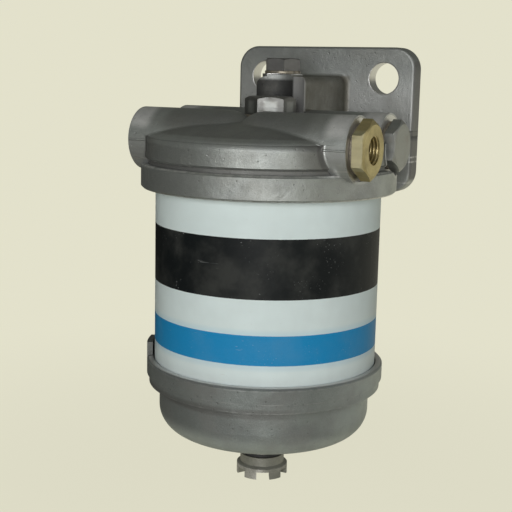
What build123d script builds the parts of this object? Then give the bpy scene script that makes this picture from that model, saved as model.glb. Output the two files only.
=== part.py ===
from build123d import *
import math
import os

# A single diesel fuel filter: a cast head that bolts to the engine by a flange, a tinned canister with
# the rolled paper element, and a cast bowl with a drain plug, drawn together by one long centre bolt.
# Sizes are millimetres. Heights are measured from the lower edge of the head's skirt, on the filter's
# own axis; the finished pieces are then moved so that the flange's bolt holes sit at the origin.

# Filter element
can_radius = 43.5
can_wall = 0.6
can_length = 75.0
can_lip = 3.0
can_bend = 1.0
plate_thick = 0.8
tube_radius = 9.2
tube_wall = 0.5
tube_flare = 1.6
paper_gap = 0.3
paper_groove = 2.0
paper_groove_half = 6.0
window_radius = 5.0
window_circle = 27.0
window_count = 8

# Seals between head, canister and bowl
seal_thick = 2.6
seal_width = 3.4
socket_gap = 0.5
seal_gap = 0.1
skirt_depth = 6.7
bowl_depth = 6.7
rubber_edge = 0.3
washer_edge = 0.2

# Head casting
skirt_wall = 5.1
rim_height = 9.2
groove_depth = 3.0
groove_height = 1.5
band_step = 1.6
band_height = 8.6
shoulder_width = 4.8
shoulder_height = 1.9
dome_height = 5.6
dome_fullness = 0.72
casting_wall = 5.0
cast_edge = 0.8
cast_fillet = 1.2
seal_ledge = 1.6
hub_radius = 11.0
spigot_radius = 8.4
spigot_bore = 6.5
spigot_length = 6.0
hub_clearance = 1.2
wrench_radius = 13.0

# Ports, two on each side, level with each other
port_height = 18.0
port_boss_radius = 12.0
port_setback = 4.6
front_port_y = -18.5
rear_port_y = 11.5
port_bore = 5.75
port_depth = 13.0
port_chamfer = 0.7
port_face_radius = 11.2
boss_end_x = 8.0
gallery_radius = 3.5
gallery_turn = 3.0
thread_gap = 0.06
screw_tip = 0.8

# Mounting flange and the web that carries it
flange_width = 80.6
flange_top = 55.0
flange_bottom = -4.0
flange_thick = 7.0
flange_standoff = 6.4
flange_corner = 9.0
flange_edge = 1.2
hole_spacing = 54.0
hole_height = 42.4
hole_radius = 6.35
web_width = 20.6
web_top = 42.5
web_fillet = 3.0
web_foot_fillet = 2.0

# Centre bolt
bolt_radius = 4.7
bolt_gap = 0.4
bolt_hex = 17.0
bolt_head = 7.0
bolt_engagement = 16.0
bolt_turn = 27.0
washer_thick = 1.2
washer_rim = 1.2
hex_crown = 0.475

# Bleed screw
bleed_x = -4.0
bleed_y = 18.0
bleed_boss_radius = 8.0
bleed_boss_top = 43.5
bleed_hex = 13.0
bleed_head = 4.8
bleed_radius = 3.0
bleed_length = 12.0
bleed_passage = 1.2

# Outlet adaptor and blanking plug
adaptor_hex = 19.0
adaptor_head = 4.6
adaptor_shank = 10.5
adaptor_mouth = 5.2
adaptor_bore = 3.2
adaptor_mouth_depth = 4.3
plug_hex = 17.0
plug_head = 4.2
plug_shank = 10.0
port_washer_radius = 9.0

# Bowl
bowl_inset = 2.0
bowl_flange_wall = 2.5
bowl_flange_height = 6.2
bowl_step = 0.9
bowl_step_height = 3.5
bowl_side = 9.5
bowl_corner = 10.0
bowl_wall = 4.0
bowl_boss_radius = 11.0
bowl_boss_height = 15.0
lug_angle = 205.0
lug_width = 12.0
lug_height = 5.2
lug_wall = 2.2

# Drain
drain_boss_radius = 8.9
drain_boss_length = 9.3
drain_boss_fillet = 2.0
drain_radius = 5.0
drain_depth = 7.5
drain_washer_thick = 1.7
drain_washer_radius = 8.3
drain_spigot = 6.5
drain_collar_radius = 8.8
drain_collar_height = 3.4
drain_grip_radius = 10.15
drain_grip_height = 5.0
drain_dog_height = 3.0
drain_dog_count = 6
drain_dog_gap = 5.2
drain_recess = 5.6
drain_drilling = 1.5
drain_drilling_angle = 62.0
drain_drilling_reach = 22.0

# Radii and heights that follow from the sizes above
can_top = skirt_depth - seal_thick
can_bottom = can_top - can_length
bowl_seat = can_bottom - seal_thick
bowl_rim = bowl_seat + bowl_depth
socket_radius = can_radius + socket_gap
head_radius = socket_radius + skirt_wall
band_radius = head_radius - band_step
shoulder_radius = band_radius - shoulder_width
port_reach = head_radius - port_setback
spot_height = port_setback + 1
flange_reach = head_radius + flange_standoff
flange_front = flange_reach - flange_thick
bowl_radius = can_radius - bowl_inset
bowl_flange_radius = socket_radius + bowl_flange_wall
band_bottom = rim_height + groove_height
band_top = band_bottom + band_height
shoulder_top = band_top + shoulder_height
seat_height = shoulder_top + dome_height
cavity_radius = socket_radius - seal_width - seal_ledge
hub_bottom = can_top + hub_clearance + seal_thick
spigot_bottom = hub_bottom - spigot_length
bolt_head_bottom = seat_height + washer_thick
bowl_floor = bowl_rim - bowl_flange_height - bowl_step_height - bowl_side - bowl_corner
drain_face = bowl_floor - drain_boss_length
boss_top = bowl_floor + bowl_wall + bowl_boss_height
drain_collar_top = drain_face - drain_washer_thick
bleed_head_bottom = bleed_boss_top + washer_thick

UP = (Align.CENTER, Align.CENTER, Align.MIN)
DOWN = (Align.CENTER, Align.CENTER, Align.MAX)


def turned(*lines):
    """A solid of revolution about Z from a closed outline of radius and height."""
    return revolve(Plane.XZ * make_face(Curve() + list(lines)), axis=Axis.Z)


def turned_points(*points):
    """The same from straight lines through the points alone."""
    return turned(Polyline(*points, close=True))


def ring(inner, outer, bottom, height, edge=0.0):
    """A flat ring whose outer corners may be broken."""
    top = bottom + height
    if edge:
        return turned_points((inner, bottom), (outer - edge, bottom), (outer, bottom + edge),
                             (outer, top - edge), (outer - edge, top), (inner, top))
    return turned_points((inner, bottom), (outer, bottom), (outer, top), (inner, top))


def hex_head(across_flats, height):
    """A hexagon standing on z = 0, with its upper corners turned away at 30 degrees."""
    corner = across_flats / math.sqrt(3)
    crown = across_flats * hex_crown
    drop = (corner - crown) * math.tan(math.radians(30))
    prism = extrude(RegularPolygon(across_flats / 2, 6, major_radius=False), height)
    blank = turned_points((0, 0), (corner, 0), (corner, height - drop), (crown, height), (0, height))
    return prism & blank


def facing_right(shape, x, y):
    """Stands a piece drawn along +Z on the port face at x, pointing along +X."""
    return Pos(x, y, port_height) * Rot(0, 90, 0) * shape


def on_port(side, y):
    """The centre of a port's face, as a location whose Z axis points out of the port."""
    return Pos(side * port_reach, y, port_height) * Rot(0, side * 90, 0)


def head_outside():
    """The turned outside of the head: rim, groove, band, shoulder and dome."""
    groove = head_radius - groove_depth
    side = Polyline((0, 0), (head_radius - cast_edge, 0), (head_radius, cast_edge),
                    (head_radius, rim_height - cast_edge), (head_radius - cast_edge, rim_height),
                    (groove, rim_height), (groove, band_bottom), (band_radius - cast_edge, band_bottom),
                    (band_radius, band_bottom + cast_edge), (band_radius, band_top),
                    (shoulder_radius, shoulder_top))
    middle = (shoulder_radius + wrench_radius) / 2
    middle_height = shoulder_top + dome_height * dome_fullness
    dome = ThreePointArc((shoulder_radius, shoulder_top), (middle, middle_height),
                         (wrench_radius, seat_height))
    cap = Polyline((wrench_radius, seat_height), (0, seat_height), (0, 0))
    return turned(side, dome, cap)


def head_inside():
    """The air under the dome: the canister's socket, the inlet chamber and the space round the hub."""
    ceiling = seat_height - casting_wall
    return turned_points((0, -1), (socket_radius, -1), (socket_radius, skirt_depth),
                         (cavity_radius, skirt_depth), (cavity_radius, band_top - casting_wall),
                         (cavity_radius - casting_wall, shoulder_top - casting_wall),
                         (hub_radius, ceiling - 1), (hub_radius, hub_bottom), (spigot_radius, hub_bottom),
                         (spigot_radius, spigot_bottom), (0, spigot_bottom))


def port_bosses():
    """Four round bosses; the front pair end in round noses beside the bolt, the rear pair in the web."""
    bosses = Part()
    for side in (-1, 1):
        length = port_reach - boss_end_x
        run = Cylinder(port_boss_radius, length, align=DOWN)
        bosses += on_port(side, front_port_y) * run
        bosses += Pos(side * boss_end_x, front_port_y, port_height) * Sphere(port_boss_radius)
        bosses += on_port(side, rear_port_y) * run
    return bosses


def bell():
    """The outside of the head with its port bosses run into it by small fillets."""
    shape = head_outside() + port_bosses()
    joints = shape.edges().filter_by(GeomType.BSPLINE).filter_by(lambda edge: edge.center().Z > band_bottom)
    return fillet(joints.filter_by(lambda edge: edge.length > 2 * cast_fillet), cast_fillet)


def flange():
    """The upright plate that is bolted to the engine, with its two holes."""
    middle = (flange_top + flange_bottom) / 2
    outline = RectangleRounded(flange_width, flange_top - flange_bottom, flange_corner)
    plate = extrude(Plane.XZ * outline, flange_thick)
    plate = fillet(plate.faces().sort_by(Axis.Y)[0].edges(), flange_edge)
    plate = Pos(0, flange_reach, middle) * plate
    for side in (-1, 1):
        hole = Rot(90, 0, 0) * Cylinder(hole_radius, 3 * flange_thick)
        plate -= Pos(side * hole_spacing / 2, flange_reach, hole_height) * hole
    return plate


def mounting():
    """Flange and web in one, with the bleed screw's boss on the web and a fillet where web meets flange."""
    depth = flange_reach - flange_thick / 2
    block = Pos(0, depth / 2, web_top / 2) * Box(web_width, depth, web_top)
    block = fillet(block.faces().sort_by(Axis.Z)[-1].edges().filter_by(Axis.Y), web_fillet)
    shape = block + flange()
    foot = shape.edges().filter_by_position(Axis.Y, flange_front, flange_front)
    foot = foot.filter_by_position(Axis.X, -web_width / 2, web_width / 2)
    foot = foot.filter_by_position(Axis.Z, 0, web_top)
    shape = fillet(foot, web_foot_fillet)
    return shape + Pos(bleed_x, bleed_y, 0) * Cylinder(bleed_boss_radius, bleed_boss_top, align=UP)


def port_machining(side, y):
    """What is cut away at a port: the spot face, the chamfered mouth and the threaded bore."""
    cut = turned_points((0, -port_depth), (port_bore, -port_depth), (port_bore, -port_chamfer),
                        (port_bore + port_chamfer, 0), (port_face_radius, 0), (port_face_radius, spot_height),
                        (0, spot_height))
    return on_port(side, y) * cut


def galleries():
    """Inlet drillings down to the chamber on the left, outlet drillings to the hub on the right."""
    cuts = Part()
    inner = port_reach - port_depth
    for y in (front_port_y, rear_port_y):
        cuts += Pos(-inner, y, port_height) * Rot(0, 90, 0) * Cylinder(gallery_radius, 2 * gallery_turn)
        cuts += Pos(gallery_turn - inner, y, port_height) * Cylinder(gallery_radius, port_height, align=DOWN)
        cuts += Pos(gallery_turn - inner, y, port_height) * Sphere(gallery_radius)
        start = Vector(inner + 1, y, port_height)
        end = Vector(0, 0, hub_bottom + spigot_bore)
        run = Plane(origin=start, z_dir=end - start)
        cuts += run * Cylinder(gallery_radius, (end - start).length - 1, align=UP)
    return cuts


def filter_head():
    """The head casting: bell, ports, web and flange in one piece, then machined."""
    bosses_inside = port_bosses() & Pos(0, 0, hub_bottom) * Cylinder(cavity_radius, seat_height, align=UP)
    casting = bell() + mounting() - head_inside() + bosses_inside
    casting -= Pos(0, 0, seat_height) * Cylinder(wrench_radius, seat_height, align=UP)
    casting -= Pos(0, 0, spigot_bottom - 1) * Cylinder(spigot_bore, hub_bottom + 10 - spigot_bottom, align=UP)
    casting -= Cylinder(bolt_radius + bolt_gap, seat_height + 5, align=UP)
    for side in (-1, 1):
        for y in (front_port_y, rear_port_y):
            casting -= port_machining(side, y)
    casting -= galleries()
    tapped = Cylinder(bleed_radius + thread_gap, bleed_length + 2 * washer_thick, align=DOWN)
    passage = Cylinder(bleed_passage, bleed_boss_top - skirt_depth, align=DOWN)
    return casting - Pos(bleed_x, bleed_y, bleed_boss_top) * (tapped + passage)


def centre_bolt():
    """The long bolt from the head's crown to the bowl's boss."""
    tip = boss_top - bolt_engagement
    shank = turned_points((0, tip), (bolt_radius - screw_tip, tip), (bolt_radius, tip + screw_tip),
                          (bolt_radius, bolt_head_bottom), (0, bolt_head_bottom))
    return shank + Pos(0, 0, bolt_head_bottom) * Rot(0, 0, bolt_turn) * hex_head(bolt_hex, bolt_head)


def bolt_washer():
    """Sealing washer under the centre bolt's head."""
    return ring(bolt_radius + bolt_gap, bolt_hex / 2 + washer_rim, seat_height, washer_thick, washer_edge)


def bleed_screw():
    """Short hexagon screw that lets the air out."""
    tip = bleed_head_bottom - bleed_length
    shank = turned_points((0, tip), (bleed_radius - screw_tip, tip), (bleed_radius, tip + screw_tip),
                          (bleed_radius, bleed_head_bottom), (0, bleed_head_bottom))
    screw = shank + Pos(0, 0, bleed_head_bottom) * hex_head(bleed_hex, bleed_head)
    return Pos(bleed_x, bleed_y, 0) * screw


def bleed_washer():
    """Washer under the bleed screw's head."""
    outer = (bleed_hex + washer_rim) / 2
    washer = ring(bleed_radius + thread_gap, outer, bleed_boss_top, washer_thick, washer_edge)
    return Pos(bleed_x, bleed_y, 0) * washer


def port_washer(y):
    """Washer between a right-hand port's face and what is screwed into it."""
    washer = ring(port_bore + thread_gap, port_washer_radius, 0, washer_thick, washer_edge)
    return facing_right(washer, port_reach, y)


def outlet_adaptor():
    """Brass union in the front right-hand port, bored through, with a wide mouth."""
    outer = port_bore - thread_gap
    top = washer_thick + adaptor_head
    bottom = washer_thick - adaptor_shank
    shank = turned_points((0, bottom), (outer - screw_tip, bottom), (outer, bottom + screw_tip),
                          (outer, washer_thick), (0, washer_thick))
    body = shank + Pos(0, 0, washer_thick) * hex_head(adaptor_hex, adaptor_head)
    mouth_end = top - adaptor_mouth_depth
    cone_end = mouth_end - (adaptor_mouth - adaptor_bore)
    waterway = turned_points((0, bottom - 1), (adaptor_bore, bottom - 1), (adaptor_bore, cone_end),
                             (adaptor_mouth, mouth_end), (adaptor_mouth, top + 1), (0, top + 1))
    return facing_right(body - waterway, port_reach, front_port_y)


def blanking_plug():
    """Solid hexagon plug in the rear right-hand port."""
    outer = port_bore - thread_gap
    bottom = washer_thick - plug_shank
    shank = turned_points((0, bottom), (outer - screw_tip, bottom), (outer, bottom + screw_tip),
                          (outer, washer_thick), (0, washer_thick))
    plug = shank + Pos(0, 0, washer_thick) * hex_head(plug_hex, plug_head)
    return facing_right(plug, port_reach, rear_port_y)


def head_seal_ring():
    """Rubber ring between the head and the canister."""
    outer = socket_radius - seal_gap
    return ring(outer - seal_width, outer, can_top, seal_thick, rubber_edge)


def bowl_seal_ring():
    """Rubber ring between the canister and the bowl."""
    outer = socket_radius - seal_gap
    return ring(outer - seal_width, outer, bowl_seat, seal_thick, rubber_edge)


def canister():
    """Drawn tinplate tube whose two ends are rolled inwards."""
    inner = can_radius - can_wall
    lip = can_radius - can_lip
    knee = can_bend * (1 - math.sqrt(0.5))
    flat = can_radius - can_bend
    upper = ThreePointArc((flat, can_top), (can_radius - knee, can_top - knee),
                          (can_radius, can_top - can_bend))
    side = Line((can_radius, can_top - can_bend), (can_radius, can_bottom + can_bend))
    lower = ThreePointArc((can_radius, can_bottom + can_bend), (can_radius - knee, can_bottom + knee),
                          (flat, can_bottom))
    inside = Polyline((flat, can_bottom), (lip, can_bottom), (lip, can_bottom + can_wall),
                      (inner, can_bottom + can_wall), (inner, can_top - can_wall), (lip, can_top - can_wall),
                      (lip, can_top), (flat, can_top))
    return turned(upper, side, lower, inside)


def end_plate(top):
    """A pressed disc with a ring of windows and a hole for the centre tube."""
    outer = can_radius - can_wall - seal_gap
    disc = ring(tube_radius, outer, top - plate_thick, plate_thick)
    windows = PolarLocations(window_circle, window_count) * Cylinder(window_radius, 4 * plate_thick)
    for window in windows:
        disc -= Pos(0, 0, top) * window
    return disc


def element_top_plate():
    """Plate under the canister's upper lip."""
    return end_plate(can_top - can_wall)


def element_bottom_plate():
    """Plate above the canister's lower lip."""
    return end_plate(can_bottom + can_wall + plate_thick)


def centre_tube():
    """The tube that takes clean fuel up round the bolt, flared over both plates."""
    top = can_top - can_wall
    bottom = can_bottom + can_wall
    inner = tube_radius - tube_wall
    flare = tube_radius + tube_flare
    return turned_points((inner, bottom - tube_wall), (flare, bottom - tube_wall), (flare, bottom),
                         (tube_radius, bottom), (tube_radius, top), (flare, top), (flare, top + tube_wall),
                         (inner, top + tube_wall))


def filter_paper():
    """The rolled paper between tube and canister, one solid with a shallow groove in each end."""
    inner = tube_radius + paper_gap
    outer = can_radius - can_wall - paper_gap
    top = can_top - can_wall - plate_thick
    bottom = can_bottom + can_wall + plate_thick
    middle = (inner + outer) / 2
    near = middle - paper_groove_half
    far = middle + paper_groove_half
    return turned_points((inner, bottom), (near, bottom), (middle, bottom + paper_groove), (far, bottom),
                         (outer, bottom), (outer, top), (far, top), (middle, top - paper_groove), (near, top),
                         (inner, top))


def centre_seal():
    """Rubber ring on the head's spigot, pressed against the element's centre tube."""
    bottom = can_top - can_wall + tube_wall
    return ring(spigot_radius + seal_gap, hub_radius, bottom, hub_bottom - bottom, rubber_edge)


def bowl_outside():
    """The turned outside of the bowl: flange, step, side, round corner and floor."""
    step_radius = bowl_flange_radius - bowl_step
    step_top = bowl_rim - bowl_flange_height
    step_bottom = step_top - bowl_step_height
    corner_top = bowl_floor + bowl_corner
    knee = bowl_corner * (1 - math.sqrt(0.5))
    side = Polyline((0, bowl_rim), (bowl_flange_radius - cast_edge, bowl_rim),
                    (bowl_flange_radius, bowl_rim - cast_edge), (bowl_flange_radius, step_top),
                    (step_radius, step_top), (step_radius, step_bottom),
                    (bowl_radius, step_bottom - cast_edge), (bowl_radius, corner_top))
    corner = ThreePointArc((bowl_radius, corner_top), (bowl_radius - knee, bowl_floor + knee),
                           (bowl_radius - bowl_corner, bowl_floor))
    foot = Polyline((bowl_radius - bowl_corner, bowl_floor),
                    (drain_boss_radius + drain_boss_fillet, bowl_floor),
                    (drain_boss_radius, bowl_floor - drain_boss_fillet), (drain_boss_radius, drain_face),
                    (0, drain_face), (0, bowl_rim))
    return turned(side, corner, foot)


def bowl_inside():
    """The air in the bowl: the canister's socket and the sediment space round the threaded boss."""
    inner = bowl_radius - bowl_wall
    floor = bowl_floor + bowl_wall
    bend = bowl_corner - bowl_wall
    knee = bend * (1 - math.sqrt(0.5))
    upper = Polyline((0, bowl_rim + 1), (socket_radius, bowl_rim + 1), (socket_radius, bowl_seat),
                     (inner, bowl_seat), (inner, floor + bend))
    corner = ThreePointArc((inner, floor + bend), (inner - knee, floor + knee), (inner - bend, floor))
    lower = Polyline((inner - bend, floor), (bowl_boss_radius, floor), (bowl_boss_radius, boss_top),
                     (0, boss_top), (0, bowl_rim + 1))
    return turned(upper, corner, lower)


def bowl_lug():
    """The ear that stands above the bowl's rim on one side."""
    shell = ring(bowl_flange_radius - lug_wall, bowl_flange_radius, bowl_rim - 1, lug_height + 1)
    block = Pos(bowl_flange_radius, 0, bowl_rim - 1) * Box(4 * lug_wall, lug_width, 2 * lug_height + 2)
    return shell & (Rot(0, 0, lug_angle) * block)


def bowl():
    """The bowl casting, drilled for the centre bolt and the drain."""
    casting = bowl_outside() - bowl_inside() + bowl_lug()
    casting -= Pos(0, 0, boss_top) * Cylinder(bolt_radius + thread_gap, bolt_engagement + 1, align=DOWN)
    casting -= Pos(0, 0, drain_face) * Cylinder(drain_radius + thread_gap, drain_depth, align=UP)
    for turn in (0, 180):
        start = Pos(0, 0, drain_face + drain_depth - 1) * Rot(0, drain_drilling_angle, 0)
        casting -= Rot(0, 0, turn) * start * Cylinder(drain_drilling, drain_drilling_reach, align=UP)
    return casting


def drain_washer():
    """Rubber washer between the bowl's lower boss and the drain plug."""
    inner = drain_radius + thread_gap
    return ring(inner, drain_washer_radius, drain_collar_top, drain_washer_thick, rubber_edge)


def drain_plug():
    """Thumb plug: a screwed spigot, a collar and a grip with six dogs round a recess."""
    spigot_top = drain_collar_top + drain_washer_thick + drain_spigot
    collar_bottom = drain_collar_top - drain_collar_height
    grip_bottom = collar_bottom - drain_grip_height
    body = turned_points((0, spigot_top), (drain_radius - screw_tip, spigot_top),
                         (drain_radius, spigot_top - screw_tip), (drain_radius, drain_collar_top),
                         (drain_collar_radius, drain_collar_top), (drain_collar_radius, collar_bottom),
                         (drain_grip_radius, collar_bottom - cast_edge), (drain_grip_radius, grip_bottom),
                         (0, grip_bottom))
    body -= Pos(0, 0, grip_bottom - 1) * Cylinder(drain_recess, drain_dog_height + 1, align=UP)
    slot = Box(2 * drain_recess, drain_dog_gap, drain_dog_height + 1, align=UP)
    gap = Pos(drain_grip_radius, 0, grip_bottom - 1) * slot
    for index in range(drain_dog_count):
        body -= Rot(0, 0, 360 * index / drain_dog_count) * gap
    return body


NODES = {
    "filter_head": filter_head,
    "centre_bolt": centre_bolt,
    "bolt_washer": bolt_washer,
    "bleed_screw": bleed_screw,
    "bleed_washer": bleed_washer,
    "outlet_adaptor": outlet_adaptor,
    "adaptor_washer": lambda: port_washer(front_port_y),
    "blanking_plug": blanking_plug,
    "blanking_washer": lambda: port_washer(rear_port_y),
    "head_seal_ring": head_seal_ring,
    "canister": canister,
    "element_top_plate": element_top_plate,
    "element_bottom_plate": element_bottom_plate,
    "centre_tube": centre_tube,
    "filter_paper": filter_paper,
    "centre_seal": centre_seal,
    "bowl_seal_ring": bowl_seal_ring,
    "bowl": bowl,
    "drain_washer": drain_washer,
    "drain_plug": drain_plug,
}

os.makedirs("parts", exist_ok=True)
to_flange = Pos(0, -flange_reach, -hole_height)
for name, make in NODES.items():
    export_step(to_flange * make(), f"parts/{name}.step")
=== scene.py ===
import math

import bmesh
import bpy
from mathutils import Matrix, Vector


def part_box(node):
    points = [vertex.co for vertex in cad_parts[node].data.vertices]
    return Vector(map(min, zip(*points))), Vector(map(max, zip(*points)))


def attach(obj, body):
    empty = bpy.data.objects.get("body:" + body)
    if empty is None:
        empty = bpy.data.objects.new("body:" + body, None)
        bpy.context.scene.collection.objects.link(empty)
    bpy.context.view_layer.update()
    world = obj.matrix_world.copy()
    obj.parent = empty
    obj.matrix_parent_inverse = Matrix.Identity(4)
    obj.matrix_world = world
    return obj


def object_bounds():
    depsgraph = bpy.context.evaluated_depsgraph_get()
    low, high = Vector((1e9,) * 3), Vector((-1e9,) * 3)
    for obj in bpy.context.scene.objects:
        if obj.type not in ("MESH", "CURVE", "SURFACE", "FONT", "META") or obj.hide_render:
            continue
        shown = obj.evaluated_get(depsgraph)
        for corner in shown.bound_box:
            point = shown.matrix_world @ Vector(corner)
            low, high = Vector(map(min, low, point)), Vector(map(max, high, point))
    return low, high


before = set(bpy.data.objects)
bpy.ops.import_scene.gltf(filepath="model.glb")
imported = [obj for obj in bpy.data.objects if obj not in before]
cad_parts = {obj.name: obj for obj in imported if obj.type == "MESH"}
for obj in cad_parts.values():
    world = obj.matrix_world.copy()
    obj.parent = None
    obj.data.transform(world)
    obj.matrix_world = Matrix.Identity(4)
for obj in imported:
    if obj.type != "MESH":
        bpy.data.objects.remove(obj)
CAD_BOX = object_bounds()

bl_info = {
    "name": "Diesel fuel filter",
    "version": (1, 0, 0),
    "blender": (4, 5, 0),
    "location": "3D View > Sidebar > Filter",
    "description": "Finishes the pieces of a diesel fuel filter and lights it in a plain studio",
    "category": "Object",
}

MM = 0.001
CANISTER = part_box("canister")
CAN_TOP = 4.1
CAN_BOTTOM = -70.9
CAN_RADIUS = 43.5

# The foot of the filter's own axis, level with the lower edge of the head's skirt. All heights, radii
# and places that are bare numbers are millimetres from here.
FOOT = Vector(((CANISTER[0][0] + CANISTER[1][0]) / 2, (CANISTER[0][1] + CANISTER[1][1]) / 2,
               CANISTER[1][2] - CAN_TOP * MM))

# Low enough for the drain plug to come right out
FLOOR_HEIGHT = CAD_BOX[0][2] - 5.6 * MM

# Camera: the sides of the sensor in millimetres and of the picture in points, the focal length in points,
# how far beside the middle the filter's axis stands in points, and how it is turned
SENSOR = 36.0
PICTURE = 512.0
FOCAL = 1050.0
BESIDE = 11.0
LOOK_DOWN = math.radians(10.0)
LEAN = math.radians(1.27)

# Head: places and radii of what is machined, and the heights of its turned outside
PORT_HEIGHT = 18.0
FRONT_PORT = -18.5
REAR_PORT = 11.5
PORT_FACE = 44.5
PORT_SPOT = 11.2
PORT_MOUTH = 6.45
PORT_BORE = 5.75
PORT_SHANK = 5.69
BOSS = 12.0
SEAT_HEIGHT = 26.8
SEAT = 13.0
BLEED = (-4.0, 18.0)
BLEED_BOSS = 8.0
BLEED_HEIGHT = 43.5
HOLE_HEIGHT = 42.4
HOLE_SPACING = 54.0
HOLE = 6.35
FLANGE_BACK = 55.5
FLANGE_FRONT = 48.5
FLANGE_SIDE = 40.3
WEB_TOP = 42.4
SKIRT = 50.0
RIM_TOP = 9.2
GROOVE_TOP = 10.7
BAND = 47.5
BAND_TOP = 19.3

# Bowl and drain
BOWL_RIM = -66.7
LUG_ANGLE = math.radians(205.0 - 360.0)
STEP_TOP = -72.7
STEP_BOTTOM = -76.4
DRAIN_FACE = -105.2

# Axes for Graph.away: how far from a line along X, Y or Z
ALONG_X = (0.0, 1.0, 1.0)
ALONG_Y = (1.0, 0.0, 1.0)
ALONG_Z = (1.0, 1.0, 0.0)

CUT_ROUGHNESS = 0.34
TOOL_MARK = 0.012


# Building node trees

class Graph:
    """Adds nodes to a tree and joins them. Each method returns the socket it makes."""

    def __init__(self, tree):
        self.tree = tree
        self.nodes = tree.nodes

    def feed(self, socket, value):
        if isinstance(value, bpy.types.NodeSocket):
            self.tree.links.new(value, socket)
        else:
            socket.default_value = value

    def node(self, kind, inputs=(), **settings):
        node = self.nodes.new(kind)
        for name, value in settings.items():
            setattr(node, name, value)
        for key, value in dict(inputs).items():
            self.feed(node.inputs[key], value)
        return node

    def math(self, operation, *values, clamp=False):
        node = self.node("ShaderNodeMath", operation=operation, use_clamp=clamp)
        for socket, value in zip(node.inputs, values):
            self.feed(socket, value)
        return node.outputs[0]

    def times(self, *factors):
        """The product of masks or values."""
        total = factors[0]
        for factor in factors[1:]:
            total = self.math("MULTIPLY", total, factor)
        return total

    def either(self, *masks):
        """The strongest of several masks."""
        total = masks[0]
        for mask in masks[1:]:
            total = self.math("MAXIMUM", total, mask)
        return total

    def without(self, mask):
        return self.math("SUBTRACT", 1.0, mask)

    def plus(self, value, extra, share, clamp=False):
        """A value with a share of an extra one on top."""
        return self.math("MULTIPLY_ADD", extra, share, value, clamp=clamp)

    def vector(self, operation, *values):
        node = self.node("ShaderNodeVectorMath", operation=operation)
        for socket, value in zip(node.inputs, values):
            self.feed(socket, value)
        return node.outputs["Value" if operation == "LENGTH" else "Vector"]

    def parts(self, vector):
        return self.node("ShaderNodeSeparateXYZ", {"Vector": vector}).outputs[:3]

    def joined(self, x, y, z):
        return self.node("ShaderNodeCombineXYZ", {"X": x, "Y": y, "Z": z}).outputs[0]

    def noise(self, vector, scale, detail=2.0, roughness=0.5):
        inputs = {"Vector": vector, "Scale": scale, "Detail": detail, "Roughness": roughness}
        return self.node("ShaderNodeTexNoise", inputs).outputs[0]

    def cells(self, vector, scale):
        inputs = {"Vector": vector, "Scale": scale}
        return self.node("ShaderNodeTexVoronoi", inputs).outputs["Distance"]

    def step(self, value, low, high):
        """0 below low, 1 above high, smooth between; reversed when low is the larger."""
        inputs = {"Value": value, "From Min": low, "From Max": high}
        return self.node("ShaderNodeMapRange", inputs, interpolation_type="SMOOTHSTEP").outputs[0]

    def within(self, value, low, high, soft):
        """1 between low and high, falling to 0 over a width of soft outside each."""
        return self.times(self.step(value, low - soft, low), self.step(value, high + soft, high))

    def at(self, value, middle, reach, soft):
        """1 within reach of the middle, falling to 0 over a width of soft outside."""
        return self.within(value, middle - reach, middle + reach, soft)

    def scale(self, value, low, high):
        """Takes a value of 0 to 1 onto low to high."""
        inputs = {"Value": value, "To Min": low, "To Max": high}
        return self.node("ShaderNodeMapRange", inputs).outputs[0]

    def mix(self, mask, a, b):
        node = self.node("ShaderNodeMix", {0: mask, 6: a, 7: b}, data_type="RGBA")
        return node.outputs[2]

    def shades(self, mask, colour, low, high):
        """A colour that goes from one strength to another by a mask."""
        return self.mix(mask, tinted(colour, low), tinted(colour, high))

    def coat(self, colour, mask, share, over):
        """Lays another colour over a colour by a share of a mask."""
        return self.mix(self.times(mask, share), colour, over)

    def coats(self, colour, *layers):
        """Lays several colours over one in turn; a layer is a mask, its share and its colour."""
        for layer in layers:
            colour = self.coat(colour, *layer)
        return colour

    def blend(self, mask, a, b):
        return self.node("ShaderNodeMix", {0: mask, 2: a, 3: b}, data_type="FLOAT").outputs[0]

    def away(self, position, centre, across):
        """Distance of a position from a line through centre along the one axis that across leaves out."""
        offset = self.vector("SUBTRACT", position, centre)
        return self.vector("LENGTH", self.vector("MULTIPLY", offset, across))

    def group(self, tree, **inputs):
        return self.node("ShaderNodeGroup", inputs, node_tree=tree).outputs

    def bump(self, height, millimetres, **inputs):
        inputs.update(Height=height, Strength=1.0, Distance=millimetres * MM)
        return self.node("ShaderNodeBump", inputs).outputs[0]


def new_group(name, inputs, outputs):
    """A shader node group with named sockets; an input with a number is a value, one without a vector."""
    tree = bpy.data.node_groups.new(name, "ShaderNodeTree")
    for label, default in inputs.items():
        kind = "NodeSocketVector" if default is None else "NodeSocketFloat"
        socket = tree.interface.new_socket(label, in_out="INPUT", socket_type=kind)
        if default is not None:
            socket.default_value = default
    for label in outputs:
        kind = "NodeSocketVector" if label == "Position" else "NodeSocketFloat"
        tree.interface.new_socket(label, in_out="OUTPUT", socket_type=kind)
    entry = tree.nodes.new("NodeGroupInput").outputs
    leave = tree.nodes.new("NodeGroupOutput").inputs
    return Graph(tree), entry, leave


def place_group():
    """Turns Object coordinates into millimetres from the axis's foot, with radius and angle round it."""
    graph, entry, leave = new_group("place_on_filter", {"Object": None}, ("Position", "Radius", "Angle"))
    offset = graph.vector("SUBTRACT", entry["Object"], tuple(FOOT))
    position = graph.vector("SCALE", offset)
    position.node.inputs["Scale"].default_value = 1 / MM
    x, y, _ = graph.parts(position)
    graph.feed(leave["Position"], position)
    graph.feed(leave["Radius"], graph.vector("LENGTH", graph.joined(x, y, 0.0)))
    graph.feed(leave["Angle"], graph.math("ARCTAN2", y, x))
    return graph.tree


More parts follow.
